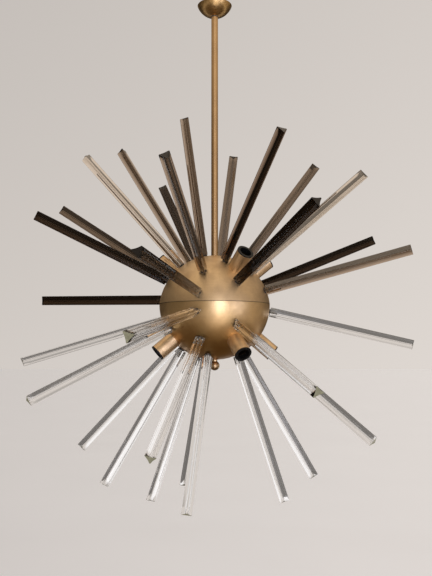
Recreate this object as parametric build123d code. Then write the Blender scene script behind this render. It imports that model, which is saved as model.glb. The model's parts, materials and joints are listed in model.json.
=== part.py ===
from build123d import *
import math
import os

# Hanging chandelier: a spun brass ball on a long stem, with glass rods and lampholders
# standing out of it all round. Millimetres and degrees. The origin is on the ceiling,
# on the stem's axis, +Z is up, and the front of the light faces -Y.
# A direction is an azimuth, from the front towards +X, and an elevation above level.

# ---- Driving dimensions -------------------------------------------------------------

# Ball: two spun domes, the upper one a little flatter than a half sphere
BALL_DROP = 760.0           # ceiling to the seam
BALL_RADIUS = 135.0         # at the seam
UPPER_RISE = 120.0          # seam to the top
LOWER_RISE = 135.0          # seam to the bottom
SHELL_WALL = 1.5
SEAM_REVEAL = 0.6           # fine open line between the two rims
JOINING_RING_HEIGHT = 12.0
JOINING_RING_WALL = 1.6

# Stem and canopy
STEM_RADIUS = 8.5
STEM_WALL = 1.5
STEM_PLUG_LENGTH = 16.0     # threaded plug in each end of the tube
CANOPY_RADIUS = 43.5
CANOPY_DEPTH = 29.5
CANOPY_WALL = 1.0
BUSH_RADIUS = 14.0          # nylon bush that grips the stem inside the canopy
BUSH_HEIGHT = 8.0
BUSH_NECK_WALL = 1.5
BUSH_RUNNING_GAP = 0.05

# Ceiling bracket: a stepped steel bar
BRACKET_LENGTH = 70.0
BRACKET_WIDTH = 16.0
BRACKET_THICKNESS = 2.5
BRACKET_STEP = 9.0          # how far its middle stands off the ceiling
BRACKET_MIDDLE = 30.0       # length of the middle flat
BRACKET_SLOPE = 6.0         # run of each sloped part
SCREW_SPACING = 56.0
SCREW_HOLE_RADIUS = 2.5

# Threaded tube with a 10 mm thread: nipples, tie tube and their nuts
THREAD_RADIUS = 5.0
THREAD_BORE_RADIUS = 3.5
NIPPLE_LENGTH = 22.0
NIPPLE_NUT_ACROSS_FLATS = 14.0
NIPPLE_NUT_HEIGHT = 4.0
WIRE_WINDOW_RADIUS = 3.0
WIRE_WINDOW_OFFSET = 20.0   # above and below the seam

# Ball finial
FINIAL_RADIUS = 12.0
FINIAL_NECK_RADIUS = 6.5
FINIAL_NECK_LENGTH = 4.0
FINIAL_THREAD_DEPTH = 14.0

# Three-edged glass rods, their studs, nuts and washers
ROD_REACH = 13.4            # axis to the outside of each blunt edge
ROD_EDGE_RADIUS = 1.8
ROD_HOLLOW = 1.0            # how far each face is dished between its edges
SMOKED_LENGTH = 350.0
CLEAR_LENGTH = 368.0
STUD_RADIUS = 3.0
STUD_DEPTH = 18.0           # glued length inside the glass
STUD_TAIL = 1.5             # thread left below the nut
WASHER_RADIUS = 7.0
WASHER_HEIGHT = 3.0
ROD_NUT_ACROSS_FLATS = 10.0
ROD_NUT_HEIGHT = 5.0

# Lampholder cups and the screw lampholders inside them
CUP_RADIUS = 19.6
CUP_WALL = 1.0
CUP_LENGTH = 48.0
CUP_WEB_LIFT = 2.5          # web above the ball's surface
CUP_WEB_HEIGHT = 1.5
HOLDER_RADIUS = 17.8
HOLDER_BORE_RADIUS = 14.0
HOLDER_BASE_HEIGHT = 10.0
HOLDER_FLOOR_WALL = 1.0     # left between the nipple's hole and the bore
HOLDER_FLANGE_RADIUS = 19.9
HOLDER_FLANGE_HEIGHT = 2.5
SCREW_SHELL_WALL = 0.6
SCREW_SHELL_LENGTH = 22.0
SCREW_SHELL_LIFT = 2.0
CONTACT_RADIUS = 5.0
CONTACT_HEIGHT = 1.5

# Clearances
THREAD_GAP = 0.05           # radial, where one threaded piece sits in another
DRILL_GAP = 0.3             # radial, round a stud or nipple in sheet metal
SEAT_GAP = 0.1              # between curved faces that seat on each other
END_GAP = 0.5               # past the end of a stud or tube in a blind hole
DRILL_REACH = 12.0          # how far a drill runs each way through sheet metal


def rod(azimuth, elevation, roll, aim_azimuth=None, aim_elevation=None):
    """One glass rod: where it is drilled, how it is turned, and where it aims if it leans."""
    if aim_azimuth is None:
        aim_azimuth, aim_elevation = azimuth, elevation
    return (azimuth, elevation), roll, (aim_azimuth, aim_elevation)


SMOKED_RODS = (
    rod(-83, 26, 36),
    rod(-110, 28, 27, -100, 33),
    rod(-17, 8, 44),
    rod(-79, 49, 93, -82.5, 48),
    rod(-106, 58, 58),
    rod(-14, 34, 30),
    rod(-152, 48, 97),
    rod(-90, 78, 51, -94, 82),
    rod(166, 63, 44),
    rod(20, 53, 70, 28.5, 45.5),
    rod(115, 53, 107, 114, 51.5),
    rod(26, 21, 56),
    rod(55, 34, 107),
    rod(109, 22, 94),
    rod(70, 13.5, 21),
    rod(-110, 6, 34, -109, 1),
    rod(-176, 16, 0),
)
CLEAR_RODS = (
    rod(-97, -16, 56),
    rod(-18, -10, 76),
    rod(-59, -25.5, 29),
    rod(-108, -45, 46),
    rod(-88, -54, 46, -88, -60),
    rod(-18, -39, 78),
    rod(-106, -71, 66),
    rod(-16, -65, 18),
    rod(-156, -67, 95),
    rod(93, -66, 86, 98, -72),
    rod(111, -58, 70),
    rod(24, -22, 96),
    rod(56, -37, 109),
    rod(95, -7.5, 85, 95, -12.5),
    rod(178, -12, 0),
)
CUPS = ((33, 41), (-95, 38), (103, 39), (-74, -40), (28, -41), (93, -40))

# ---- Derived places -------------------------------------------------------------------

BALL_CENTRE = Vector(0, 0, -BALL_DROP)
BALL_TOP = -BALL_DROP + UPPER_RISE
BALL_BOTTOM = -BALL_DROP - LOWER_RISE
BRACKET_BOTTOM = -BRACKET_STEP - BRACKET_THICKNESS
STEM_TOP = BRACKET_BOTTOM - NIPPLE_NUT_HEIGHT
CUP_WEB_TOP = CUP_WEB_LIFT + CUP_WEB_HEIGHT
HOLDER_FLOOR = CUP_WEB_TOP + HOLDER_BASE_HEIGHT
SCREW_SHELL_RADIUS = HOLDER_BORE_RADIUS - THREAD_GAP


def hex_corner(across_flats):
    return across_flats / math.sqrt(3)


def cap_radius(base_radius, rise):
    """Radius of the sphere that a cap of this base radius and rise is cut from."""
    return (base_radius**2 + rise**2) / (2 * rise)


def bearing(direction):
    azimuth, elevation = (math.radians(angle) for angle in direction)
    level = math.cos(elevation)
    return Vector(math.sin(azimuth) * level, -math.cos(azimuth) * level, math.sin(elevation))


def dome_of(direction):
    """Centre and outer radius of the dome that a direction meets."""
    rise = UPPER_RISE if direction[1] > 0 else LOWER_RISE
    radius = cap_radius(BALL_RADIUS, rise)
    side = 1 if direction[1] > 0 else -1
    return BALL_CENTRE + Vector(0, 0, side * (rise - radius)), radius


def seat_point(direction):
    """Point where a line from the ball's centre leaves the dome."""
    centre, radius = dome_of(direction)
    offset = BALL_CENTRE - centre
    ray = bearing(direction)
    along = offset.dot(ray)
    distance = -along + math.sqrt(along**2 + radius**2 - offset.dot(offset))
    return BALL_CENTRE + ray * distance


def seat_plane(direction, aim, roll=0.0):
    """Plane on the dome at a drilled place, with Z out along the piece's own axis."""
    axis = bearing(aim)
    across = Vector(0, 0, 1).cross(axis).normalized()
    turned = across.rotate(Axis((0, 0, 0), axis), -roll)
    return Plane(origin=seat_point(direction), x_dir=turned, z_dir=axis)


def nut_depth(direction, aim, across_flats):
    """Depth under the dome's outside at which a nut's rim meets the dome's inside."""
    centre, radius = dome_of(direction)
    normal = (seat_point(direction) - centre).normalized()
    lean = math.acos(min(1.0, normal.dot(bearing(aim))))
    corner = hex_corner(across_flats)
    dish = corner**2 / (2 * (radius - SHELL_WALL))
    return SHELL_WALL / math.cos(lean) + corner * math.tan(lean) + dish + SEAT_GAP


def dome_solid(direction, extra=0.0):
    """Full sphere of the dome that a direction meets."""
    centre, radius = dome_of(direction)
    return Pos(centre) * Sphere(radius + extra)


# ---- Turned and hexagonal stock -------------------------------------------------------

def post(radius, bottom, top):
    return Pos(0, 0, bottom) * Cylinder(radius, top - bottom, align=(Align.CENTER, Align.CENTER, Align.MIN))


def tube(radius, bore, bottom, top):
    return post(radius, bottom, top) - post(bore, bottom, top)


def hex_nut(across_flats, bore, bottom, top):
    blank = Pos(0, 0, bottom) * extrude(RegularPolygon(hex_corner(across_flats), 6), top - bottom)
    return blank - post(bore, bottom, top)


def nipple_nut(top):
    return hex_nut(NIPPLE_NUT_ACROSS_FLATS, THREAD_RADIUS + THREAD_GAP, top - NIPPLE_NUT_HEIGHT, top)


def threaded_tube(bottom, top):
    return tube(THREAD_RADIUS, THREAD_BORE_RADIUS, bottom, top)


def export(name, pieces):
    solids = pieces if isinstance(pieces, list) else [pieces]
    shape = solids[0] if len(solids) == 1 else Compound(children=[item.solid() for item in solids])
    shape.label = name
    export_step(shape, f"parts/{name}.step")


# ---- Ball -----------------------------------------------------------------------------

def dome_profile(rise, outer_inset, inner_inset, low):
    """Half section of a dome between two insets from its outside, above a height."""
    radius = cap_radius(BALL_RADIUS, rise)
    centre = Pos(0, rise - radius)
    ring = centre * (Circle(radius - outer_inset) - Circle(radius - inner_inset))
    reach = 2 * radius
    window = Pos(0, low) * Rectangle(reach, reach, align=(Align.MIN, Align.MIN))
    return ring & window


def spin(profile):
    return revolve(Plane.XZ * profile, Axis.Z)


def spun_dome(rise, side):
    """A dome standing on the seam plane, turned over for the lower one."""
    shell = spin(dome_profile(rise, 0, SHELL_WALL, SEAM_REVEAL / 2))
    if side < 0:
        shell = mirror(shell, about=Plane.XY)
    return Pos(BALL_CENTRE) * shell


def drilled_dome(rise, side):
    """A dome with its pole hole and the holes for its rods and lampholder cups."""
    stud_drill = post(STUD_RADIUS + DRILL_GAP, -DRILL_REACH, DRILL_REACH)
    thread_drill = post(THREAD_RADIUS + DRILL_GAP, -DRILL_REACH, DRILL_REACH)
    drills = [Pos(0, 0, BALL_CENTRE.Z + side * rise) * thread_drill]
    for direction, _, aim in SMOKED_RODS + CLEAR_RODS:
        if direction[1] * side > 0:
            drills.append(seat_plane(direction, aim).location * stud_drill)
    for direction in CUPS:
        if direction[1] * side > 0:
            drills.append(seat_plane(direction, direction).location * thread_drill)
    return spun_dome(rise, side) - drills


def joining_ring():
    """Band inside the seam, shaped to both domes."""
    inset = SHELL_WALL + SEAT_GAP
    half = JOINING_RING_HEIGHT / 2
    halves = []
    for rise, side in ((UPPER_RISE, 1), (LOWER_RISE, -1)):
        section = dome_profile(rise, inset, inset + JOINING_RING_WALL, 0)
        section &= Rectangle(2 * BALL_RADIUS, 2 * half)
        band = spin(section)
        halves.append(band if side > 0 else mirror(band, about=Plane.XY))
    return Pos(BALL_CENTRE) * (halves[0] + halves[1])


def tie_tube():
    """Threaded tube from the stem's lower plug down through the ball into the finial."""
    top = BALL_TOP + STEM_PLUG_LENGTH - END_GAP
    bottom = BALL_BOTTOM - FINIAL_THREAD_DEPTH + END_GAP
    stock = threaded_tube(bottom, top)
    reach = 2 * THREAD_RADIUS
    for offset in (-WIRE_WINDOW_OFFSET, WIRE_WINDOW_OFFSET):
        drill = Pos(0, 0, BALL_CENTRE.Z + offset) * Rot(0, 90, 0) * Cylinder(WIRE_WINDOW_RADIUS, 2 * reach)
        stock -= drill
    return stock


def finial():
    """Turned ball with a short neck that screws up against the lower dome."""
    ball_centre = BALL_BOTTOM - FINIAL_NECK_LENGTH - math.sqrt(FINIAL_RADIUS**2 - FINIAL_NECK_RADIUS**2)
    body = Pos(0, 0, ball_centre) * Sphere(FINIAL_RADIUS)
    body += post(FINIAL_NECK_RADIUS, ball_centre, BALL_BOTTOM)
    return body - post(THREAD_RADIUS + THREAD_GAP, BALL_BOTTOM - FINIAL_THREAD_DEPTH, BALL_BOTTOM)


# ---- Stem, canopy and ceiling bracket ----------------------------------------------------

def stem():
    """Brass tube with a threaded plug brazed into each end."""
    body = post(STEM_RADIUS, BALL_TOP, STEM_TOP)
    body -= post(THREAD_RADIUS + THREAD_GAP, BALL_TOP, STEM_TOP)
    return body - post(STEM_RADIUS - STEM_WALL, BALL_TOP + STEM_PLUG_LENGTH, STEM_TOP - STEM_PLUG_LENGTH)


def canopy_sphere(inset):
    radius = cap_radius(CANOPY_RADIUS, CANOPY_DEPTH)
    return Pos(0, 0, radius - CANOPY_DEPTH) * Sphere(radius - inset)


BUSH_NECK_RADIUS = STEM_RADIUS + BUSH_RUNNING_GAP + BUSH_NECK_WALL


def canopy():
    """Small spun bowl that closes against the ceiling."""
    reach = 2 * CANOPY_DEPTH
    bowl = (canopy_sphere(0) - canopy_sphere(CANOPY_WALL)) & post(2 * CANOPY_RADIUS, -reach, 0)
    return bowl - post(BUSH_NECK_RADIUS + SEAT_GAP, -reach, 0)


def canopy_bush():
    """Nylon bush: a shoulder shaped to the bowl's inside and a neck through its hole."""
    top = BUSH_HEIGHT - CANOPY_DEPTH
    shoulder = post(BUSH_RADIUS, -CANOPY_DEPTH, top) & canopy_sphere(CANOPY_WALL + SEAT_GAP)
    neck = post(BUSH_NECK_RADIUS, -CANOPY_DEPTH, top)
    return (shoulder + neck) - post(STEM_RADIUS + BUSH_RUNNING_GAP, -2 * CANOPY_DEPTH, 0)


def ceiling_bracket():
    """Bar with its ends on the ceiling and its middle stepped down for the nut and wires."""
    end = BRACKET_LENGTH / 2
    middle = BRACKET_MIDDLE / 2
    upper = [(-end, 0), (-middle - BRACKET_SLOPE, 0), (-middle, -BRACKET_STEP)]
    upper += [(middle, -BRACKET_STEP), (middle + BRACKET_SLOPE, 0), (end, 0)]
    lower = [(x, z - BRACKET_THICKNESS) for x, z in reversed(upper)]
    section = Plane.XZ * make_face(Polyline(*upper, *lower, close=True))
    bar = extrude(section, BRACKET_WIDTH / 2, both=True)
    bar -= post(THREAD_RADIUS + DRILL_GAP, 2 * BRACKET_BOTTOM, 0)
    for x in (-SCREW_SPACING / 2, SCREW_SPACING / 2):
        bar -= Pos(x, 0, 0) * post(SCREW_HOLE_RADIUS, 2 * BRACKET_BOTTOM, BRACKET_THICKNESS)
    return bar


# ---- Glass rods -----------------------------------------------------------------------

def rod_section():
    """Three blunt round edges, the first along +Y, joined smoothly by dished faces."""
    edge_centre = ROD_REACH - ROD_EDGE_RADIUS
    half_span = edge_centre * math.sin(math.radians(60))
    face_depth = edge_centre / 2 + ROD_EDGE_RADIUS - ROD_HOLLOW
    rise = ROD_EDGE_RADIUS - ROD_HOLLOW
    dish_radius = (half_span**2 + rise**2 - ROD_EDGE_RADIUS**2) / (2 * ROD_HOLLOW)
    slope = math.asin(half_span / (dish_radius + ROD_EDGE_RADIUS))
    join = Vector(0, 1).rotate(Axis.Z, -60 - math.degrees(slope)) * ROD_EDGE_RADIUS + Vector(0, edge_centre)
    edge = ThreePointArc((-join.X, join.Y), (0, ROD_REACH), join)
    face_middle = Vector(0, face_depth).rotate(Axis.Z, -60)
    face = ThreePointArc(join, face_middle, Vector(-join.X, join.Y).rotate(Axis.Z, -120))
    return make_face(Curve() + [Rot(0, 0, 120 * turn) * arc for turn in range(3) for arc in (edge, face)])


def glass_rod(section, length):
    """A cast rod standing on its washer, with the stud's hole in its base."""
    body = Pos(0, 0, WASHER_HEIGHT) * extrude(section, length)
    return body - post(STUD_RADIUS + THREAD_GAP, WASHER_HEIGHT, WASHER_HEIGHT + STUD_DEPTH + END_GAP)


def rod_washer(direction, place):
    """Soft washer, flat under the glass and shaped to the dome below."""
    blank = tube(WASHER_RADIUS, STUD_RADIUS + THREAD_GAP, -WASHER_HEIGHT, WASHER_HEIGHT)
    return place * blank - dome_solid(direction)


def build_rods():
    section = rod_section()
    nut_bore = STUD_RADIUS + THREAD_GAP
    kinds = (("smoked", SMOKED_RODS, SMOKED_LENGTH), ("clear", CLEAR_RODS, CLEAR_LENGTH))
    studs, nuts, washers = [], [], []
    for colour, rods, length in kinds:
        body = glass_rod(section, length)
        for number, (direction, roll, aim) in enumerate(rods, start=1):
            place = seat_plane(direction, aim, roll).location
            export(f"{colour}_rod_{number:02d}", place * body)
            nut_top = -nut_depth(direction, aim, ROD_NUT_ACROSS_FLATS)
            nut_bottom = nut_top - ROD_NUT_HEIGHT
            nuts.append(place * hex_nut(ROD_NUT_ACROSS_FLATS, nut_bore, nut_bottom, nut_top))
            studs.append(place * post(STUD_RADIUS, nut_bottom - STUD_TAIL, WASHER_HEIGHT + STUD_DEPTH))
            washers.append(rod_washer(direction, place))
    export("rod_studs", studs)
    export("rod_nuts", nuts)
    export("rod_washers", washers)


# ---- Lampholders ----------------------------------------------------------------------

def lampholder_cup(direction, place):
    """Plain brass cup whose foot is shaped to the ball, with a web for its nipple."""
    shell = tube(CUP_RADIUS, CUP_RADIUS - CUP_WALL, -CUP_WALL - CUP_WEB_LIFT, CUP_LENGTH)
    web = tube(CUP_RADIUS, THREAD_RADIUS + DRILL_GAP, CUP_WEB_LIFT, CUP_WEB_TOP)
    return place * (shell + web) - dome_solid(direction, SEAT_GAP)


def lampholder():
    """Black moulded body with a deep bore, a thick base and a flange over the cup's rim."""
    body = post(HOLDER_RADIUS, CUP_WEB_TOP, CUP_LENGTH)
    body += post(HOLDER_FLANGE_RADIUS, CUP_LENGTH, CUP_LENGTH + HOLDER_FLANGE_HEIGHT)
    body -= post(HOLDER_BORE_RADIUS, HOLDER_FLOOR, CUP_LENGTH + HOLDER_FLANGE_HEIGHT)
    return body - post(THREAD_RADIUS + THREAD_GAP, CUP_WEB_TOP, HOLDER_FLOOR - HOLDER_FLOOR_WALL)


def lampholder_metal():
    """Screw shell and centre contact of one lampholder."""
    shell_bottom = HOLDER_FLOOR + SCREW_SHELL_LIFT
    bore = SCREW_SHELL_RADIUS - SCREW_SHELL_WALL
    shell = tube(SCREW_SHELL_RADIUS, bore, shell_bottom, shell_bottom + SCREW_SHELL_LENGTH)
    return [shell, post(CONTACT_RADIUS, HOLDER_FLOOR, HOLDER_FLOOR + CONTACT_HEIGHT)]


def build_lampholders():
    body = lampholder()
    metal, nipples, nuts = [], [], []
    for number, direction in enumerate(CUPS, start=1):
        place = seat_plane(direction, direction).location
        export(f"lampholder_cup_{number}", lampholder_cup(direction, place))
        export(f"lampholder_{number}", place * body)
        metal += [place * piece for piece in lampholder_metal()]
        nipple_top = HOLDER_FLOOR - HOLDER_FLOOR_WALL - END_GAP
        nipples.append(place * threaded_tube(nipple_top - NIPPLE_LENGTH, nipple_top))
        nuts.append(place * nipple_nut(-nut_depth(direction, direction, NIPPLE_NUT_ACROSS_FLATS)))
    export("lampholder_contacts", metal)
    return nipples, nuts


# ---- Assembly -------------------------------------------------------------------------

def build():
    os.makedirs("parts", exist_ok=True)
    export("upper_dome", drilled_dome(UPPER_RISE, 1))
    export("lower_dome", drilled_dome(LOWER_RISE, -1))
    export("joining_ring", joining_ring())
    export("tie_tube", tie_tube())
    export("finial", finial())
    export("stem", stem())
    export("canopy", canopy())
    export("canopy_bush", canopy_bush())
    export("ceiling_bracket", ceiling_bracket())
    build_rods()
    nipples, nuts = build_lampholders()
    nipple_top = STEM_TOP + 2 * NIPPLE_NUT_HEIGHT + BRACKET_THICKNESS + END_GAP
    nipples.append(threaded_tube(nipple_top - NIPPLE_LENGTH, nipple_top))
    nuts += [nipple_nut(BRACKET_BOTTOM), nipple_nut(NIPPLE_NUT_HEIGHT - BRACKET_STEP)]
    upper_nut_depth = nut_depth((0, 90), (0, 90), NIPPLE_NUT_ACROSS_FLATS)
    lower_nut_depth = nut_depth((0, -90), (0, -90), NIPPLE_NUT_ACROSS_FLATS)
    nuts.append(nipple_nut(BALL_TOP - upper_nut_depth))
    nuts.append(nipple_nut(BALL_BOTTOM + lower_nut_depth + NIPPLE_NUT_HEIGHT))
    export("threaded_nipples", nipples)
    export("nipple_nuts", nuts)


build()
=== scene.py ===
"""Looks of a hanging chandelier: an aged brass ball with three-edged glass rods and screw lampholders."""

import json
import math

import bmesh
import bpy
from bpy.props import FloatProperty, FloatVectorProperty, IntProperty, PointerProperty
from mathutils import Matrix, Vector

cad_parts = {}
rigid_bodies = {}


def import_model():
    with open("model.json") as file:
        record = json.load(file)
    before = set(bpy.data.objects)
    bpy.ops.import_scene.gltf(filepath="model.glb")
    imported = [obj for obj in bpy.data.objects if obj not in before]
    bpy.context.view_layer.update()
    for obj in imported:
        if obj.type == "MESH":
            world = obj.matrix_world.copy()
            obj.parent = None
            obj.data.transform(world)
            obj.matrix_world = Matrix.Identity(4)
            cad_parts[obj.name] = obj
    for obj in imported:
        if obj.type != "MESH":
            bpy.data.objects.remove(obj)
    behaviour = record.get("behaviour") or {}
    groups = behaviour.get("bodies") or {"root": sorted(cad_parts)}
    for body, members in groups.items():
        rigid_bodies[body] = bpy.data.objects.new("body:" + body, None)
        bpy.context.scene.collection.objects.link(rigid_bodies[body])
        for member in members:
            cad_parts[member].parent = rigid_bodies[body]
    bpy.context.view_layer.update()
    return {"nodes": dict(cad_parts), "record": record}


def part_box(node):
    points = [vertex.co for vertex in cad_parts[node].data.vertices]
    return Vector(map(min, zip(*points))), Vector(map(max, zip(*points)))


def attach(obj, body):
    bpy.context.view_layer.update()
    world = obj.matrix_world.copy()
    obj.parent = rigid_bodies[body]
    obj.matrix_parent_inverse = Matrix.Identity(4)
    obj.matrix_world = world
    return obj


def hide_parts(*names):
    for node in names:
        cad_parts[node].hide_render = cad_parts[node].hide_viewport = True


bl_info = {
    "name": "Rod Chandelier Looks",
    "version": (1, 0, 0),
    "blender": (4, 5, 0),
    "location": "View3D > Sidebar > Chandelier",
    "description": "Glass rods, brass finishes and a soft studio for a hanging rod chandelier",
    "category": "Object",
}

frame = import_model()
NODES = frame["nodes"]
MM = 0.001
ORIGIN = Vector((0, 0, 0))

UPPER_DOME_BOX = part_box("upper_dome")
LOWER_DOME_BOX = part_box("lower_dome")
BALL_RADIUS = (LOWER_DOME_BOX[1].x - LOWER_DOME_BOX[0].x) / 2
SEAM_HEIGHT = (UPPER_DOME_BOX[0].z + LOWER_DOME_BOX[1].z) / 2
BALL_HEART = Vector((0, 0, SEAM_HEIGHT))
FINIAL_HEART = sum(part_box("finial"), Vector()) / 2


# ---- Settings that a user would change --------------------------------------------------

def length_prop(name, description, default):
    return FloatProperty(name=name, description=description, default=default, unit="LENGTH",
                         precision=4)


def colour_prop(name, description, default):
    return FloatVectorProperty(name=name, description=description, default=default, size=3,
                               subtype="COLOR", min=0, max=1)


def share_prop(name, description, default):
    return FloatProperty(name=name, description=description, default=default, min=0, max=1,
                         subtype="FACTOR")


def density_prop(name, default):
    return FloatProperty(name=name, description="How strongly the glass absorbs", default=default,
                         min=0)


def count_prop(name, description, default):
    return IntProperty(name=name, description=description, default=default, min=2)


class GlassSettings(bpy.types.PropertyGroup):
    rod_reach: length_prop("Rod reach", "From a rod's axis to the outside of a blunt edge", 13.4 * MM)
    edge_radius: length_prop("Edge radius", "Radius of each blunt edge", 1.8 * MM)
    hollow: length_prop("Hollow", "How far each face is dished", 1.0 * MM)
    end_chamfer: length_prop("End chamfer", "Ground chamfer round each cut end", 0.5 * MM)
    hole_radius: length_prop("Hole radius", "Stud hole in the foot", 3.05 * MM)
    hole_depth: length_prop("Hole depth", "Depth of the stud hole", 18.5 * MM)
    ripple: length_prop("Ripple", "Depth of the waves left by casting", 0.02 * MM)
    ripple_size: length_prop("Ripple size", "Breadth of the waves left by casting", 30.0 * MM)
    edge_steps: count_prop("Edge steps", "Facets round each blunt edge", 6)
    face_steps: count_prop("Face steps", "Facets across each dished face", 8)
    length_steps: count_prop("Length steps", "Rings along a rod", 22)
    smoked_skin: colour_prop("Smoked skin", "Tint of each smoked face", (0.76, 0.62, 0.50))
    smoked_depth: colour_prop("Smoked depth", "Colour left deep in the smoked glass", (0.55, 0.50, 0.44))
    smoked_density: density_prop("Smoked density", 150)
    # pale and deep: lighter and darker copies of the smoked glass for chosen rods, painted light and
    # painted shade for how each rod is lit
    lit_copy_skin: colour_prop("Pale skin", "Tint of the palest smoked castings", (0.95, 0.83, 0.70))
    lit_copy_density: density_prop("Pale density", 25)
    shaded_copy_skin: colour_prop("Deep skin", "Tint of the darkest smoked castings", (0.66, 0.52, 0.42))
    shaded_copy_density: density_prop("Deep density", 300)
    shaded_copy_gleam: colour_prop("Deep gleam", "How much their faces mirror", (0.35, 0.35, 0.35))
    smoked_end: colour_prop("Smoked end", "Look into the cut end of a smoked rod", (0.012, 0.010, 0.009))
    clear_skin: colour_prop("Clear skin", "Tint of each clear face", (0.985, 0.975, 0.965))
    clear_depth: colour_prop("Clear depth", "Colour left deep in the clear glass", (0.92, 0.90, 0.88))
    clear_density: density_prop("Clear density", 9)
    clear_end: colour_prop("Clear end", "Look into the cut end of a clear rod", (0.30, 0.30, 0.21))
    polish: share_prop("Polish", "Roughness of the fire-polished faces", 0.006)
    ground: share_prop("Ground", "Roughness of the ground foot and hole", 0.42)


class BrassSettings(bpy.types.PropertyGroup):
    ball_upper: colour_prop("Upper dome", "Duller tan brass of the upper dome", (0.79, 0.575, 0.32))
    ball_lower: colour_prop("Lower dome", "Warmer brass of the lower dome", (0.77, 0.53, 0.25))
    # darker brown towards the bottom of the lower dome: partly patina, partly painted shade for the dark
    # floor that the brass mirrors
    ball_patina_and_shade: colour_prop("Ball patina", "Brown patina towards the bottom", (0.55, 0.28, 0.06))
    # the dark line along the joint between the domes is painted shadow, reaching the given width onto
    # each dome
    seam: colour_prop("Seam", "Grime along the line between the two domes", (0.05, 0.03, 0.02))
    seam_shadow_width: length_prop("Seam width", "How far the grime reaches onto each dome", 1.2 * MM)
    stem: colour_prop("Stem", "Drawn brass of the stem", (0.76, 0.49, 0.23))
    canopy: colour_prop("Canopy", "Spun brass of the canopy", (0.68, 0.42, 0.14))
    cup: colour_prop("Cups", "Warm brass of the lampholder cups", (0.95, 0.67, 0.37))
    finial: colour_prop("Finial", "Turned brass of the finial", (0.60, 0.40, 0.20))
    # near-black brass inside the lampholders: painted shade in their recess
    shaded_contact: colour_prop("Contacts", "Shaded brass inside the lampholders", (0.07, 0.055, 0.035))
    tarnish: colour_prop("Tarnish", "Brown that gathers in patches", (0.30, 0.18, 0.09))
    upper_roughness: share_prop("Upper roughness", "Of the upper dome", 0.43)
    lower_roughness: share_prop("Lower roughness", "Of the lower dome", 0.38)
    stem_roughness: share_prop("Stem roughness", "Of the stem", 0.20)
    canopy_roughness: share_prop("Canopy roughness", "Of the canopy", 0.24)
    cup_roughness: share_prop("Cup roughness", "Of the lampholder cups", 0.42)
    finial_roughness: share_prop("Finial roughness", "Of the finial", 0.26)
    contact_roughness: share_prop("Contact roughness", "Of the lampholder contacts", 0.4)
    coat: share_prop("Lacquer", "Weight of the old lacquer over the brass", 0.5)
    coat_roughness: share_prop("Lacquer roughness", "Of the old lacquer", 0.3)


class StageSettings(bpy.types.PropertyGroup):
    floor_drop: length_prop("Floor drop", "Ceiling to floor", 2.4)
    floor_size: length_prop("Floor size", "Side of the floor", 120.0)
    background: colour_prop("Background", "Pale warm studio air", (0.698, 0.648, 0.607))
    air_shade: share_prop("Air shade", "How much dimmer the air is up and to the left", 0.24)
    floor_colour: colour_prop("Floor colour", "Pale floor", (0.93, 0.935, 0.95))
    floor_glow: share_prop("Floor glow", "Lifts the floor to the air's tone", 0.20)
    mirrored_room: colour_prop("Mirrored room", "What the brass mirrors", (0.41, 0.34, 0.265))
    refracted_room: colour_prop("Refracted room", "What the glass bends into view", (0.36, 0.34, 0.32))
    window_light: colour_prop("Window light", "Glow of the window that the brass mirrors",
                              (0.95, 0.93, 1.0))
    daylight: colour_prop("Daylight", "Cool light of the two windows", (0.66, 0.72, 1.0))
    side_windows: colour_prop("Side windows", "Light that the glass bends in from both sides",
                              (1.0, 0.985, 0.985))
    mirrored_rug: colour_prop("Mirrored rug", "Brown that the brass mirrors from below",
                              (0.10, 0.07, 0.045))
    refracted_floor: colour_prop("Refracted floor", "Dark floor that the glass bends up",
                                 (0.17, 0.16, 0.152))
    camera_place: FloatVectorProperty(name="Camera place", description="Where the camera stands",
                                      default=(0.0034, -1.7624, -0.8740), size=3,
                                      subtype="TRANSLATION", unit="LENGTH")
    camera_pitch: FloatProperty(name="Camera pitch", description="Tilt above level",
                                default=math.radians(5.005), subtype="ANGLE")
    lens: FloatProperty(name="Lens", description="Focal length in millimetres", default=45.0, min=1)


GROUPS = (GlassSettings, BrassSettings, StageSettings)


# ---- Modelling helpers ------------------------------------------------------------------

SAME_PLACE = 0.01 * MM
WELD_DISTANCE = 0.02 * MM
SMOOTH_ANGLE = math.radians(35)


def activate(obj):
    """Leaves edit mode and selects one object alone, or none."""
    if bpy.context.mode != "OBJECT":
        bpy.ops.object.mode_set(mode="OBJECT")
    bpy.ops.object.select_all(action="DESELECT")
    if obj is not None:
        obj.select_set(True)
        bpy.context.view_layer.objects.active = obj


def pick_ring(obj, height):
    """Selects, in edit mode, only the ring of vertices at one height."""
    mesh = bmesh.from_edit_mesh(obj.data)
    bpy.ops.mesh.select_all(action="DESELECT")
    for vertex in mesh.verts:
        if abs(vertex.co.z - height) < SAME_PLACE:
            vertex.select_set(True)
    mesh.select_flush_mode()
    bmesh.update_edit_mesh(obj.data)


def point_object(name, point):
    """A mesh of one vertex, open in edit mode, from which an outline is spun."""
    mesh = bpy.data.meshes.new(name)
    mesh.from_pydata([point], [], [])
    obj = bpy.data.objects.new(name, mesh)
    bpy.context.scene.collection.objects.link(obj)
    activate(obj)
    bpy.ops.object.mode_set(mode="EDIT")
    bpy.ops.mesh.select_all(action="SELECT")
    return obj


def spin_arc(centre, angle, steps):
    """Carries the selected vertex round a centre, leaving an arc behind it."""
    bpy.ops.mesh.spin(steps=steps, angle=angle, center=centre, axis=(0, 0, 1), dupli=False)


def extrude(rise):
    """Draws the selected ring up or down, leaving a wall behind it."""
    bpy.ops.mesh.extrude_region_move(TRANSFORM_OT_translate={"value": (0, 0, rise)})


def scale_ring(share):
    """Scales the selected level ring about the rod's axis."""
    bpy.ops.transform.resize(value=(share, share, 1), center_override=(0, 0, 0))


# ---- Material helpers ---------------------------------------------------------------------

NOISE_ROUGHNESS = 0.55


def times(values, factor):
    """The channels of a colour, or both ends of a span, each times one factor."""
    return tuple(value * factor for value in values)


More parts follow.
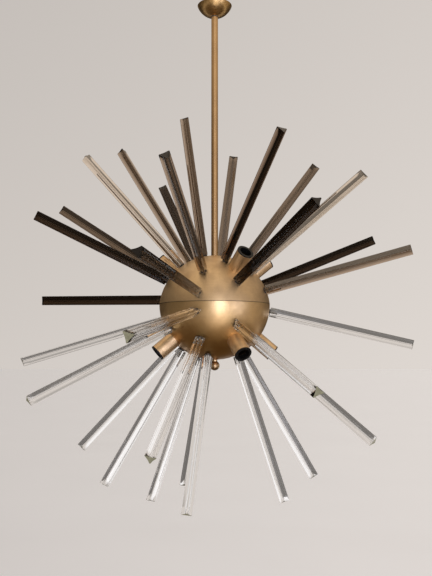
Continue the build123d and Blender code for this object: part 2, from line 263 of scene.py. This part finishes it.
class NodeTree:
    """A node tree under construction, with short ways to add what finishes need."""

    def __init__(self, tree):
        self.tree = tree

    def add(self, kind, values=None, attributes=None, **links):
        node = self.tree.nodes.new(kind)
        for key, value in (attributes or {}).items():
            setattr(node, key, value)
        for key, value in (values or {}).items():
            node.inputs[key].default_value = value
        for key, source in links.items():
            self.tree.links.new(source, node.inputs[key])
        return node

    def link(self, source, socket):
        self.tree.links.new(source, socket)

    def split(self, vector):
        """The X, Y and Z of a vector."""
        return self.add("ShaderNodeSeparateXYZ", Vector=vector).outputs

    def math(self, operation, first, second=None):
        """The result of one operation on sockets or numbers."""
        node = self.add("ShaderNodeMath", None, {"operation": operation})
        for socket, value in zip(node.inputs, (first, second)):
            if isinstance(value, (int, float)):
                socket.default_value = value
            elif value is not None:
                self.link(value, socket)
        return node.outputs[0]

    def along(self, x, y, way):
        """How far a point lies along a level direction."""
        across, ahead = self.math("MULTIPLY", x, way[0]), self.math("MULTIPLY", y, way[1])
        return self.math("ADD", across, ahead)

    def spread(self, source, span, result=(0, 1)):
        """Maps the values in a span onto a result, with those outside it clamped."""
        node = self.add("ShaderNodeMapRange", {"From Min": span[0], "From Max": span[1],
                                               "To Min": result[0], "To Max": result[1]}, Value=source)
        return node.outputs[0]

    def blend(self, share, first, second):
        """Mixes two colours, from the first at a share of 0 to the second at 1."""
        node = self.add("ShaderNodeMix", None, {"data_type": "RGBA"})
        self.link(share, node.inputs[0])
        for socket, value in ((node.inputs[6], first), (node.inputs[7], second)):
            if isinstance(value, bpy.types.NodeSocket):
                self.link(value, socket)
            else:
                socket.default_value = (*value, 1)
        return node.outputs[2]


class Recipe(NodeTree):
    """A material under construction, with its patterns centred on a point of the piece."""

    def __init__(self, name, centre=ORIGIN):
        self.material = bpy.data.materials.new(name)
        self.material.use_nodes = True
        super().__init__(self.material.node_tree)
        self.shader = next(n for n in self.tree.nodes if n.type == "BSDF_PRINCIPLED")
        self.output = next(n for n in self.tree.nodes if n.type == "OUTPUT_MATERIAL")
        self.place = self.add("ShaderNodeMapping", {"Location": -centre},
                              Vector=self.add("ShaderNodeTexCoord").outputs["Object"]).outputs[0]

    def stretch(self, scale):
        """The piece's own coordinates, squeezed along some axes, for grain and brush lines."""
        return self.add("ShaderNodeMapping", {"Scale": scale}, Vector=self.place).outputs[0]

    def noise(self, scale, detail=3, where=None):
        """Noise over the piece's own coordinates, or over others."""
        node = self.add("ShaderNodeTexNoise",
                        {"Scale": scale, "Detail": detail, "Roughness": NOISE_ROUGHNESS},
                        Vector=where or self.place)
        return node.outputs["Fac"]

    def lathe_lines(self, scale):
        """Noise that runs in rings round the piece's vertical axis, by latitude."""
        across = self.add("ShaderNodeVectorMath", {1: (1, 1, 0)}, {"operation": "MULTIPLY"})
        self.link(self.place, across.inputs[0])
        radius = self.add("ShaderNodeVectorMath", None, {"operation": "LENGTH"})
        self.link(across.outputs[0], radius.inputs[0])
        latitude = self.math("ARCTAN2", self.split(self.place)["Z"], radius.outputs["Value"])
        node = self.add("ShaderNodeTexNoise", {"Scale": scale, "Detail": 2.0},
                        {"noise_dimensions": "1D"}, W=latitude)
        return node.outputs["Fac"]

    def height_share(self, low, high):
        """0 at one height of the piece's own coordinates and 1 at another."""
        return self.spread(self.split(self.place)["Z"], (low, high))

    def bump(self, height, relief, below=None):
        strength, distance = relief
        node = self.add("ShaderNodeBump", {"Strength": strength, "Distance": distance}, Height=height)
        if below is not None:
            self.link(below, node.inputs["Normal"])
        return node.outputs[0]

    def finish(self, **sockets):
        """Sets or links the shader's own sockets, named with underscores for spaces."""
        for key, value in sockets.items():
            socket = self.shader.inputs[key.replace("_", " ")]
            if isinstance(value, bpy.types.NodeSocket):
                self.link(value, socket)
            elif isinstance(value, (int, float)):
                socket.default_value = value
            else:
                socket.default_value = (*value, 1)
        return self.material


def paint(node, material):
    """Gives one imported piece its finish."""
    mesh = NODES[node].data
    mesh.materials.clear()
    mesh.materials.append(material)


def paint_slot(slot, material):
    """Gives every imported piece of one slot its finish."""
    for row in frame["record"]["subparts"]:
        if row["material_slot"] == slot:
            paint(row["node"], material)


# ---- Finishes -------------------------------------------------------------------------------
# A span says where a noise starts to count and where it counts in full, a share how much it then
# counts, and a relief the strength and depth of a bump.

PATCH_SPAN, PATCH_SHARE = (0.42, 0.72), 0.42
SPECK_SPAN, SPECK_SHARE = (0.55, 0.75), 0.22
SPECKS_PER_PATCH, GRIT_PER_PATCH = 26, 60       # how many times finer than the patches
LINE_SPAN, LINE_SHARE = (0.35, 0.80), 0.16
SHEEN_PATCH_SPAN, SHEEN_PATCH_CHANGE = (0.0, 0.34), (-0.03, 0.12)
SHEEN_LINE_SPAN, SHEEN_LINE_CHANGE = (0.3, 0.7), (-0.03, 0.03)
LATHE_SCALE = 130
LINE_RELIEF = (0.10, 0.4 * MM)
GRIT_RELIEF = (0.05, 0.3 * MM)


def aged_brass(name, brass, colour, roughness, patch_scale, centre=ORIGIN, grain=None, patina_and_shade=None,
               seam=None):
    """Brass with patches of tarnish, fine specks, and lathe rings unless a drawn grain is given.

    The colour that darkens towards the bottom, partly patina and partly painted shade, comes with the
    heights where it starts and is full. The height for the joint between the domes is how far, off the
    centre, its painted shadow reaches.
    """
    recipe = Recipe(name, centre)
    patches = recipe.spread(recipe.noise(patch_scale, detail=4), PATCH_SPAN, (0, PATCH_SHARE))
    specks = recipe.spread(recipe.noise(patch_scale * SPECKS_PER_PATCH), SPECK_SPAN, (0, SPECK_SHARE))
    base = recipe.blend(patches, colour, brass.tarnish)
    base = recipe.blend(specks, base, brass.tarnish)
    # darker towards the bottom: partly patina, partly painted shade
    if patina_and_shade is not None:
        base = recipe.blend(recipe.height_share(*patina_and_shade[1:]), base, patina_and_shade[0])
    # painted shadow along the joint between the two domes
    if seam is not None:
        base = recipe.blend(recipe.height_share(seam, 0), base, brass.seam)
    if grain is None:
        lines = recipe.lathe_lines(LATHE_SCALE)
    else:
        lines = recipe.noise(1, detail=2, where=recipe.stretch(grain))
    base = recipe.blend(recipe.spread(lines, LINE_SPAN, (0, LINE_SHARE)), base, brass.tarnish)
    sheen = recipe.spread(patches, SHEEN_PATCH_SPAN,
                          tuple(roughness + change for change in SHEEN_PATCH_CHANGE))
    sheen = recipe.math("ADD", sheen, recipe.spread(lines, SHEEN_LINE_SPAN, SHEEN_LINE_CHANGE))
    relief = recipe.bump(lines, LINE_RELIEF)
    relief = recipe.bump(recipe.noise(patch_scale * GRIT_PER_PATCH, detail=2), GRIT_RELIEF, relief)
    return recipe.finish(Base_Color=base, Metallic=1.0, Roughness=sheen, Normal=relief,
                         Coat_Weight=brass.coat, Coat_Roughness=brass.coat_roughness)


GLASS_IOR = 1.52
HAZE_SCALE, HAZE_SPAN = 55, (0.35, 0.75)
HAZE_CHANGE = (0.5, 2.0)                        # times the polish
WAVE_SCALE, WAVE_RELIEF = 38, (0.02, 1.0 * MM)


def cast_glass(name, settings, skin, depth_colour, density, gleam=(1, 1, 1)):
    """Cast glass: tinted through its depth, with polished faces and a ground foot and hole."""
    recipe = Recipe(name)
    mark = recipe.add("ShaderNodeAttribute", None,
                      {"attribute_name": "ground", "attribute_type": "GEOMETRY"})
    haze = recipe.spread(recipe.noise(HAZE_SCALE), HAZE_SPAN, times(HAZE_CHANGE, settings.polish))
    ground = recipe.math("MULTIPLY", mark.outputs["Fac"], settings.ground)
    waves = recipe.bump(recipe.noise(WAVE_SCALE, detail=1), WAVE_RELIEF)
    recipe.finish(Base_Color=skin, Roughness=recipe.math("MAXIMUM", haze, ground), IOR=GLASS_IOR,
                  Transmission_Weight=1.0, Specular_Tint=gleam, Normal=waves)
    depth = recipe.add("ShaderNodeVolumeAbsorption",
                       {"Color": (*depth_colour, 1), "Density": density})
    recipe.link(depth.outputs[0], recipe.output.inputs["Volume"])
    return recipe.material


CLOUD_SPAN = (0.3, 0.7)
END_CLOUD_SCALE, END_CLOUD_TINT, END_ROUGHNESS = 160, 1.35, (0.12, 0.22)


def cut_end(name, colour):
    """The sawn and polished end of a rod, where the eye looks down the whole depth of the glass."""
    recipe = Recipe(name)
    cloud = recipe.spread(recipe.noise(END_CLOUD_SCALE), CLOUD_SPAN)
    base = recipe.blend(cloud, colour, times(colour, END_CLOUD_TINT))
    return recipe.finish(Base_Color=base, Roughness=recipe.spread(cloud, (0, 1), END_ROUGHNESS))


MOULDING_BLACK, MOULDING_DUST = (0.004, 0.004, 0.004), (0.016, 0.015, 0.014)
DUST_SCALE, DUST_SPAN, DUST_SHARE = 260, (0.5, 0.8), 0.35
MOULDING_SCALE, MOULDING_ROUGHNESS, MOULDING_GLOSS = 90, (0.38, 0.55), 0.3
MOULDING_GRIT_SCALE, MOULDING_RELIEF = 700, (0.08, 0.2 * MM)


def dark_moulding(name):
    """Black thermoset with a dull moulded skin and a little dust in it."""
    recipe = Recipe(name)
    dust = recipe.spread(recipe.noise(DUST_SCALE, detail=4), DUST_SPAN, (0, DUST_SHARE))
    rough = recipe.spread(recipe.noise(MOULDING_SCALE), CLOUD_SPAN, MOULDING_ROUGHNESS)
    skin = recipe.bump(recipe.noise(MOULDING_GRIT_SCALE, detail=2), MOULDING_RELIEF)
    return recipe.finish(Base_Color=recipe.blend(dust, MOULDING_BLACK, MOULDING_DUST), Roughness=rough,
                         Specular_IOR_Level=MOULDING_GLOSS, Normal=skin)


ZINC_BRIGHT, ZINC_BLOOM = (0.62, 0.61, 0.58), (0.42, 0.40, 0.36)
ZINC_SCALE, ZINC_SPAN, ZINC_ROUGHNESS = 120, (0.3, 0.75), (0.26, 0.44)
FINE_RELIEF = (0.10, 0.2 * MM)
ZINC_GRIT_SCALE = 900


def plated_steel(name):
    """Zinc-plated steel with a cloudy, slightly warm bloom."""
    recipe = Recipe(name)
    cloud = recipe.noise(ZINC_SCALE, detail=4)
    base = recipe.blend(recipe.spread(cloud, ZINC_SPAN), ZINC_BRIGHT, ZINC_BLOOM)
    return recipe.finish(Base_Color=base, Metallic=1.0,
                         Roughness=recipe.spread(cloud, CLOUD_SPAN, ZINC_ROUGHNESS),
                         Normal=recipe.bump(recipe.noise(ZINC_GRIT_SCALE, detail=2), FINE_RELIEF))


NYLON, NYLON_WORN, NYLON_ROUGHNESS = (0.09, 0.07, 0.05), (0.14, 0.11, 0.08), 0.45
FIBRE, FIBRE_WORN, FIBRE_ROUGHNESS = (0.035, 0.03, 0.026), (0.07, 0.06, 0.05), 0.7
MOTTLE_SCALE, MOTTLE_SPAN, MOTTLE_GRIT_SCALE = 340, (0.35, 0.75), 800


def soft_plastic(name, colour, worn, roughness):
    """Nylon or fibre with a faint mottle."""
    recipe = Recipe(name)
    mottle = recipe.spread(recipe.noise(MOTTLE_SCALE), MOTTLE_SPAN)
    return recipe.finish(Base_Color=recipe.blend(mottle, colour, worn), Roughness=roughness,
                         Normal=recipe.bump(recipe.noise(MOTTLE_GRIT_SCALE, detail=2), FINE_RELIEF))


# ---- Glass rods ---------------------------------------------------------------------------

# rods given lighter and darker copies of the smoked glass: painted light and painted shade
LIT_COPY_RODS = ("smoked_rod_04", "smoked_rod_13")
SHADED_COPY_RODS = ("smoked_rod_01", "smoked_rod_07", "smoked_rod_10", "smoked_rod_12", "smoked_rod_14",
                 "smoked_rod_16")
EDGES = 3
VERTEX_DIGITS = 6      # decimals of a metre to which a packed vertex is the same as another


def mean(points):
    return sum(points, Vector()) / len(points)


def rod_place(node):
    """Where a packed rod lies, as a matrix and a length.

    The matrix lays a rod there that is modelled foot down on the origin, along +Z, with an edge to +Y.
    """
    corners = {tuple(round(c, VERTEX_DIGITS) for c in v.co): None for v in NODES[node].data.vertices}
    points = [Vector(corner) for corner in corners]
    outward = (mean(points) - BALL_HEART).normalized()
    reach = [(p - BALL_HEART).dot(outward) for p in points]
    middle = (min(reach) + max(reach)) / 2
    tips = [p for p, r in zip(points, reach) if r > middle]
    feet = [p for p, r in zip(points, reach) if r <= middle]
    tip = mean(tips)
    axis = (tip - mean(feet)).normalized()
    side = axis.orthogonal().normalized()
    up = axis.cross(side)
    # this power of a bearing is the same for every edge, so the sum's own bearing gives an edge's
    turned = sum((complex((p - tip).dot(side), (p - tip).dot(up)) ** EDGES for p in tips), 0j)
    angle = math.atan2(turned.imag, turned.real) / EDGES
    edge = side * math.cos(angle) + up * math.sin(angle)
    heights = [p.dot(axis) for p in points]
    length = max(heights) - min(heights)
    matrix = Matrix((edge.cross(axis), edge, axis)).transposed().to_4x4()
    matrix.translation = tip - axis * length
    return matrix, length


def rod_outline(name, settings):
    """The rod's section as one closed wire: three blunt edges joined smoothly by dished faces."""
    part_turn = math.tau / EDGES
    edge_centre = settings.rod_reach - settings.edge_radius
    half_span = edge_centre * math.sin(part_turn / 2)
    rise = settings.edge_radius - settings.hollow
    dish = (half_span**2 + rise**2 - settings.edge_radius**2) / (2 * settings.hollow)
    slope = math.asin(half_span / (dish + settings.edge_radius))
    sweep = part_turn / 2 + slope
    start = Vector((-math.sin(sweep), math.cos(sweep), 0)) * settings.edge_radius
    outline = point_object(name, start + Vector((0, edge_centre, 0)))
    face_centre = Vector((0, edge_centre * math.cos(part_turn / 2) + rise + dish, 0))
    for turn in range(EDGES):
        to_edge = Matrix.Rotation(-part_turn * turn, 3, "Z")
        to_face = Matrix.Rotation(-part_turn * (turn + 0.5), 3, "Z")
        spin_arc(to_edge @ Vector((0, edge_centre, 0)), 2 * sweep, settings.edge_steps)
        spin_arc(to_face @ face_centre, -2 * slope, settings.face_steps)
    bpy.ops.mesh.select_all(action="SELECT")
    bpy.ops.mesh.remove_doubles(threshold=WELD_DISTANCE)
    return outline


def model_rod(name, length, settings):
    """A rod standing on the origin: outline drawn up ring by ring, chamfered ends and a drilled foot."""
    rod = rod_outline(name, settings)
    chamfer = settings.end_chamfer
    shrink = 1 - chamfer / settings.rod_reach
    bpy.ops.transform.translate(value=(0, 0, chamfer))
    for _ in range(settings.length_steps):
        extrude((length - 2 * chamfer) / settings.length_steps)
    extrude(chamfer)
    scale_ring(shrink)
    bpy.ops.mesh.edge_face_add()
    for face in bmesh.from_edit_mesh(rod.data).faces:
        face.material_index = int(face.select)
    pick_ring(rod, chamfer)
    extrude(-chamfer)
    scale_ring(shrink)
    # the foot's inner ring is made round, drawn in to the hole's mouth and sunk as the hole
    extrude(0)
    bpy.ops.transform.tosphere(value=1)
    mouth = max(v.co.to_2d().length for v in bmesh.from_edit_mesh(rod.data).verts if v.select)
    scale_ring(settings.hole_radius / mouth)
    extrude(settings.hole_depth)
    bpy.ops.mesh.edge_face_add()
    bpy.ops.mesh.select_all(action="SELECT")
    bpy.ops.mesh.normals_make_consistent(inside=False)
    bpy.ops.object.mode_set(mode="OBJECT")
    mark_ground(rod, settings)
    return rod


def mark_ground(rod, settings):
    """Stores 1 on the ground foot and its hole, and 0 on the polished faces."""
    mark = rod.data.attributes.new("ground", "FLOAT", "POINT")
    hole_reach = settings.hole_radius + settings.end_chamfer
    hole_top = settings.hole_depth + settings.end_chamfer
    for vertex, value in zip(rod.data.vertices, mark.data):
        in_hole = vertex.co.to_2d().length < hole_reach and vertex.co.z < hole_top
        in_foot = vertex.co.z < settings.end_chamfer / 2
        value.value = 1.0 if in_hole or in_foot else 0.0


def cast_ripple(rod, texture, depth):
    """Sinks faint waves into a rod, and never raises it."""
    ripple = rod.modifiers.new("ripple", "DISPLACE")
    ripple.texture = texture
    ripple.texture_coords = "LOCAL"
    ripple.strength = depth
    ripple.mid_level = 1.0
    activate(rod)
    bpy.ops.object.modifier_apply(modifier=ripple.name)
    bpy.ops.object.shade_smooth_by_angle(angle=SMOOTH_ANGLE)


def place_rods(kind, glass, end, lit_and_shaded_copies, texture, settings):
    """Models one rod of a kind and copies it to every place, each with a mesh of its own.

    Some rods take a lighter or darker copy of the glass: painted light and painted shade.
    """
    places = {node: rod_place(node) for node in sorted(NODES) if node.startswith(f"{kind}_rod")}
    length = next(iter(places.values()))[1]
    pattern = model_rod(f"{kind}_pattern", length, settings)
    for node, (matrix, _) in places.items():
        rod = pattern.copy()
        rod.data = pattern.data.copy()
        rod.name = rod.data.name = f"{node}_glass"
        bpy.context.scene.collection.objects.link(rod)
        rod.data.materials.append(lit_and_shaded_copies.get(node, glass))
        rod.data.materials.append(end)
        rod.data.transform(matrix)
        cast_ripple(rod, texture, settings.ripple)
        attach(rod, "fixture")
        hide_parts(node)
    bpy.data.objects.remove(pattern)


class CHANDELIER_OT_glass_rods(bpy.types.Operator):
    """Model the smoked and clear glass rods in place of their plain solids"""
    bl_idname = "chandelier.glass_rods"
    bl_label = "Glass Rods"

    def execute(self, context):
        glass = context.scene.chandelier_glass
        texture = bpy.data.textures.new("cast_ripple", "CLOUDS")
        texture.noise_scale = glass.ripple_size
        texture.noise_depth = 1
        smoked = cast_glass("smoked_cast_glass", glass, glass.smoked_skin, glass.smoked_depth,
                            glass.smoked_density)
        # lighter and darker copies of the smoked glass: painted light and painted shade on chosen rods
        pale = cast_glass("lit_copy_smoked_glass", glass, glass.lit_copy_skin, glass.smoked_depth,
                          glass.lit_copy_density)
        deep = cast_glass("shaded_copy_smoked_glass", glass, glass.shaded_copy_skin, glass.smoked_depth,
                          glass.shaded_copy_density, glass.shaded_copy_gleam)
        clear = cast_glass("clear_cast_glass", glass, glass.clear_skin, glass.clear_depth,
                           glass.clear_density)
        lit_and_shaded_copies = {node: pale for node in LIT_COPY_RODS} | {node: deep for node in SHADED_COPY_RODS}
        place_rods("smoked", smoked, cut_end("smoked_cut_end", glass.smoked_end), lit_and_shaded_copies, texture, glass)
        place_rods("clear", clear, cut_end("clear_cut_end", glass.clear_end), {}, texture, glass)
        return {"FINISHED"}


# ---- Brass and hardware ---------------------------------------------------------------------

# the lower dome darkens between these heights, partly patina and partly painted shade
PATINA_AND_SHADE_TOP = -5 * MM                    # from the ball's heart
PATINA_AND_SHADE_BOTTOM = -0.85 * BALL_RADIUS
DRAWN_GRAIN = (700, 700, 9)             # long lines along the stem
CUP_GRAIN = (90, 90, 90)
CONTACT_GRAIN = (200, 200, 200)


class CHANDELIER_OT_brass_body(bpy.types.Operator):
    """Finish the ball, stem, canopy and finial in aged brass"""
    bl_idname = "chandelier.brass_body"
    bl_label = "Brass Body"

    def execute(self, context):
        brass = context.scene.chandelier_brass
        upper = aged_brass("upper_dome_brass", brass, brass.ball_upper, brass.upper_roughness,
                           patch_scale=18, centre=BALL_HEART, seam=brass.seam_shadow_width)
        lower = aged_brass("lower_dome_brass", brass, brass.ball_lower, brass.lower_roughness,
                           patch_scale=20, centre=BALL_HEART, seam=-brass.seam_shadow_width,
                           patina_and_shade=(brass.ball_patina_and_shade, PATINA_AND_SHADE_TOP, PATINA_AND_SHADE_BOTTOM))
        stem = aged_brass("drawn_stem_brass", brass, brass.stem, brass.stem_roughness,
                          patch_scale=14, grain=DRAWN_GRAIN)
        canopy = aged_brass("spun_canopy_brass", brass, brass.canopy, brass.canopy_roughness,
                            patch_scale=9)
        finial = aged_brass("turned_finial_brass", brass, brass.finial, brass.finial_roughness,
                            patch_scale=30, centre=FINIAL_HEART)
        paint_slot("ball_brass", upper)
        paint("lower_dome", lower)
        paint_slot("stem_brass", stem)
        paint_slot("canopy_brass", canopy)
        paint_slot("finial_brass", finial)
        return {"FINISHED"}


class CHANDELIER_OT_lampholders(bpy.types.Operator):
    """Finish the brass cups and the black lampholders inside them"""
    bl_idname = "chandelier.lampholders"
    bl_label = "Lampholders"

    def execute(self, context):
        brass = context.scene.chandelier_brass
        cups = aged_brass("cup_brass_finish", brass, brass.cup, brass.cup_roughness,
                          patch_scale=30, centre=BALL_HEART, grain=CUP_GRAIN)
        moulding = dark_moulding("black_thermoset")
        # the contacts' near-black colour is painted shade inside the lampholders
        contacts = aged_brass("shaded_contact_brass", brass, brass.shaded_contact, brass.contact_roughness,
                              patch_scale=60, grain=CONTACT_GRAIN)
        paint_slot("cup_brass", cups)
        paint_slot("black_moulding", moulding)
        paint_slot("contact_brass", contacts)
        return {"FINISHED"}


class CHANDELIER_OT_hardware(bpy.types.Operator):
    """Finish the bracket, threaded pieces, bush and washers"""
    bl_idname = "chandelier.hardware"
    bl_label = "Hardware"

    def execute(self, context):
        paint_slot("zinc_steel", plated_steel("zinc_plated_steel"))
        paint_slot("bush_nylon", soft_plastic("dark_nylon", NYLON, NYLON_WORN, NYLON_ROUGHNESS))
        paint_slot("dark_washer", soft_plastic("fibre_washer", FIBRE, FIBRE_WORN, FIBRE_ROUGHNESS))
        return {"FINISHED"}


# ---- Stage ----------------------------------------------------------------------------------
# Fades are in metres on the floor and the cards, and in parts of a unit direction in the air.

SOFTBOXES = (   # name, degrees right of the front, degrees up, distance, width, height, watts
    ("window_front", 11, -8, 3.0, 1.3, 1.4, 22),
    ("window_right", 46, -7, 3.2, 1.3, 1.2, 17),
)

AIR_WAY, AIR_FADE = (0.6, 0.0, -0.7), (-0.6, 0.4)       # brightens towards the lower right
BENT_ROOM_FADE = (-0.44, 0.24)                          # from in front to behind the chandelier
SIDE_WINDOW_FADE = (0.60, 0.88)
BENT_FLOOR_FADE = (-0.25, -0.19)

FLOOR_CLOUD_SCALE, FLOOR_CLOUD_TINT, FLOOR_ROUGHNESS = 0.8, 0.97, 0.9
FAN_DEPTH, FAN_START = 2.5, (0.0, 3.2)                  # the glow fans out behind the chandelier
FAN_FADE, FAN_GLOW = (-0.3, 0.3), (0.6, 1.4)            # from left to right, times the floor glow

ROOM_RADIUS, ROOM_GLOW = 5.0, 1.5
BRIGHT_SIDE, SIDE_FADE, SIDE_TINT = (0.8, -0.6), (-2.2, 2.2), 0.28
BACK_FADE, BACK_TINT = (0.3, 3.3), 0.12
CEILING_FADE, CEILING_TINT = (1.5, 4.5), 2.0
WINDOW_ACROSS, WINDOW_EDGE = (0.98, 0.19), (0.25, 1.0)          # 11 degrees right of the front
WINDOW_FRONT = (-1.0, -2.5)
WINDOW_TOP, WINDOW_TOP_SHARE = (3.8, 1.0), (0.25, 1)            # dimmer towards the top

RUG_RADIUS, RUG_LIFT, RUG_GLOW = 3.2, 0.01, 3.5
RUG_PATCH_PLACE, RUG_PATCH_SIDES, RUG_PATCH_ENDS = (0.45, -2.3), (0.5, 1.1), (0.1, 0.8)


def softbox(name, bearing, elevation, distance, width, height, power, colour):
    """A rectangular studio light that faces the ball, unseen through glass."""
    light = bpy.data.lights.new(name, "AREA")
    light.shape = "RECTANGLE"
    light.size = width
    light.size_y = height
    light.energy = power
    light.color = colour
    obj = bpy.data.objects.new(name, light)
    bpy.context.scene.collection.objects.link(obj)
    bearing, elevation = math.radians(bearing), math.radians(elevation)
    way = Vector((math.sin(bearing) * math.cos(elevation), -math.cos(bearing) * math.cos(elevation),
                  math.sin(elevation)))
    obj.location = BALL_HEART + way * distance
    obj.rotation_euler = (-way).to_track_quat("-Z", "Y").to_euler()
    obj.visible_transmission = False
    return obj


def spare_glass(lamps):
    """Keeps the lamps' glints off the glass, which then shows only the room."""
    lit = bpy.data.collections.new("lit_by_windows")
    for obj in bpy.context.scene.objects:
        if obj.type == "MESH" and not obj.name.endswith("_glass"):
            lit.objects.link(obj)
    for lamp in lamps:
        lamp.light_linking.receiver_collection = lit


def studio_air(stage):
    """Pale air to look at, and for light bent by the glass a room with bright sides and a dark floor."""
    world = bpy.data.worlds.new("studio_air")
    world.use_nodes = True
    air = NodeTree(world.node_tree)
    way = air.add("ShaderNodeTexCoord").outputs["Generated"]
    slope = air.add("ShaderNodeVectorMath", {1: AIR_WAY}, {"operation": "DOT_PRODUCT"})
    air.link(way, slope.inputs[0])
    dim = times(stage.background, 1 - stage.air_shade)
    lit = times(stage.background, 1 + stage.air_shade / 2)
    seen = air.blend(air.spread(slope.outputs["Value"], AIR_FADE), dim, lit)
    x, y, z = air.split(way)
    bent = air.blend(air.spread(y, BENT_ROOM_FADE), stage.refracted_room, stage.background)
    bent = air.blend(air.spread(air.math("ABSOLUTE", x), SIDE_WINDOW_FADE), bent, stage.side_windows)
    bent = air.blend(air.spread(z, BENT_FLOOR_FADE), stage.refracted_floor, bent)
    is_bent = air.add("ShaderNodeLightPath").outputs["Is Transmission Ray"]
    air.link(air.blend(is_bent, seen, bent), air.tree.nodes["Background"].inputs["Color"])
    return world


def lay_floor(stage):
    """A pale floor whose faint glow meets the air's tone, and which the glass doesn't bend into view."""
    bpy.ops.mesh.primitive_plane_add(size=stage.floor_size, location=(0, 0, -stage.floor_drop))
    floor = bpy.context.active_object
    floor.name = "floor"
    recipe = Recipe("pale_floor")
    cloud = recipe.spread(recipe.noise(FLOOR_CLOUD_SCALE), CLOUD_SPAN)
    base = recipe.blend(cloud, stage.floor_colour, times(stage.floor_colour, FLOOR_CLOUD_TINT))
    x, y, _ = recipe.split(recipe.place)
    depth = recipe.math("MAXIMUM", recipe.math("ADD", y, FAN_DEPTH), FAN_DEPTH)
    fan = recipe.math("MULTIPLY", recipe.math("DIVIDE", x, depth), recipe.spread(y, FAN_START))
    glow = recipe.spread(fan, FAN_FADE, times(FAN_GLOW, stage.floor_glow))
    floor.data.materials.append(recipe.finish(Base_Color=base, Roughness=FLOOR_ROUGHNESS,
                                              Emission_Color=stage.background, Emission_Strength=glow))
    floor.visible_transmission = False


def mirror_card(name, glow, stage, shade):
    """Makes the active object a card that glows in what the chandelier mirrors, and nowhere else."""
    card = bpy.context.active_object
    card.name = name
    recipe = Recipe(name)
    colour = shade(recipe, *recipe.split(recipe.place), stage)
    card.data.materials.append(recipe.finish(Base_Color=(0, 0, 0), Roughness=1.0, Specular_IOR_Level=0.0,
                                             Emission_Color=colour, Emission_Strength=glow))
    card.visible_camera = card.visible_diffuse = card.visible_transmission = False
    card.visible_shadow = card.visible_volume_scatter = False


def room_shade(recipe, x, y, z, stage):
    """The mirrored room: dim at the left and back, with a pale ceiling and a tall window in front."""
    wall = times(stage.mirrored_room, 1 / ROOM_GLOW)
    side = recipe.spread(recipe.along(x, y, BRIGHT_SIDE), SIDE_FADE)
    shade = recipe.blend(side, times(wall, SIDE_TINT), wall)
    shade = recipe.blend(recipe.spread(y, BACK_FADE), shade, times(wall, BACK_TINT))
    shade = recipe.blend(recipe.spread(z, CEILING_FADE), shade, times(wall, CEILING_TINT))
    aside = recipe.math("ABSOLUTE", recipe.along(x, y, WINDOW_ACROSS))
    strip = recipe.spread(aside, WINDOW_EDGE, (1, 0))
    strip = recipe.math("MULTIPLY", strip, recipe.spread(y, WINDOW_FRONT))
    strip = recipe.math("MULTIPLY", strip, recipe.spread(z, WINDOW_TOP, WINDOW_TOP_SHARE))
    return recipe.blend(strip, shade, stage.window_light)


def rug_shade(recipe, x, y, _, stage):
    """The mirrored rug, with a soft patch of window light on it in front of the chandelier."""
    aside = recipe.math("ABSOLUTE", recipe.math("SUBTRACT", x, RUG_PATCH_PLACE[0]))
    away = recipe.math("ABSOLUTE", recipe.math("SUBTRACT", y, RUG_PATCH_PLACE[1]))
    patch = recipe.math("MULTIPLY", recipe.spread(aside, RUG_PATCH_SIDES, (1, 0)),
                        recipe.spread(away, RUG_PATCH_ENDS, (1, 0)))
    return recipe.blend(patch, times(stage.mirrored_rug, 1 / RUG_GLOW), stage.window_light)


class CHANDELIER_OT_stage(bpy.types.Operator):
    """Lay the pale floor, the soft lights and the camera"""
    bl_idname = "chandelier.stage"
    bl_label = "Stage"

    def execute(self, context):
        stage = context.scene.chandelier_stage
        activate(None)
        lay_floor(stage)
        context.scene.world = studio_air(stage)
        context.scene.view_settings.view_transform = "Standard"
        spare_glass([softbox(*row, stage.daylight) for row in SOFTBOXES])
        bpy.ops.mesh.primitive_uv_sphere_add(segments=64, ring_count=32, radius=ROOM_RADIUS,
                                             location=BALL_HEART)
        mirror_card("mirrored_room", ROOM_GLOW, stage, room_shade)
        bpy.ops.mesh.primitive_circle_add(vertices=96, radius=RUG_RADIUS, fill_type="NGON",
                                          location=(0, 0, RUG_LIFT - stage.floor_drop))
        mirror_card("mirrored_rug", RUG_GLOW, stage, rug_shade)
        camera = bpy.data.objects.new("camera", bpy.data.cameras.new("camera"))
        context.scene.collection.objects.link(camera)
        camera.location = stage.camera_place
        camera.rotation_euler = (math.radians(90) + stage.camera_pitch, 0, 0)
        camera.data.lens = stage.lens
        context.scene.camera = camera
        return {"FINISHED"}


OPERATORS = (CHANDELIER_OT_brass_body, CHANDELIER_OT_lampholders, CHANDELIER_OT_hardware,
             CHANDELIER_OT_glass_rods, CHANDELIER_OT_stage)


class CHANDELIER_PT_panel(bpy.types.Panel):
    """Lists the chandelier's operators in the sidebar"""
    bl_label = "Rod Chandelier"
    bl_idname = "CHANDELIER_PT_panel"
    bl_space_type = "VIEW_3D"
    bl_region_type = "UI"
    bl_category = "Chandelier"

    def draw(self, context):
        for operator in OPERATORS:
            self.layout.operator(operator.bl_idname)


def register():
    for cls in (*GROUPS, *OPERATORS, CHANDELIER_PT_panel):
        bpy.utils.register_class(cls)
    bpy.types.Scene.chandelier_glass = PointerProperty(type=GlassSettings)
    bpy.types.Scene.chandelier_brass = PointerProperty(type=BrassSettings)
    bpy.types.Scene.chandelier_stage = PointerProperty(type=StageSettings)


def unregister():
    del bpy.types.Scene.chandelier_stage
    del bpy.types.Scene.chandelier_brass
    del bpy.types.Scene.chandelier_glass
    for cls in reversed((*GROUPS, *OPERATORS, CHANDELIER_PT_panel)):
        bpy.utils.unregister_class(cls)


def main():
    register()
    bpy.ops.chandelier.brass_body()
    bpy.ops.chandelier.lampholders()
    bpy.ops.chandelier.hardware()
    bpy.ops.chandelier.glass_rods()
    bpy.ops.chandelier.stage()


if __name__ == "__main__":
    main()
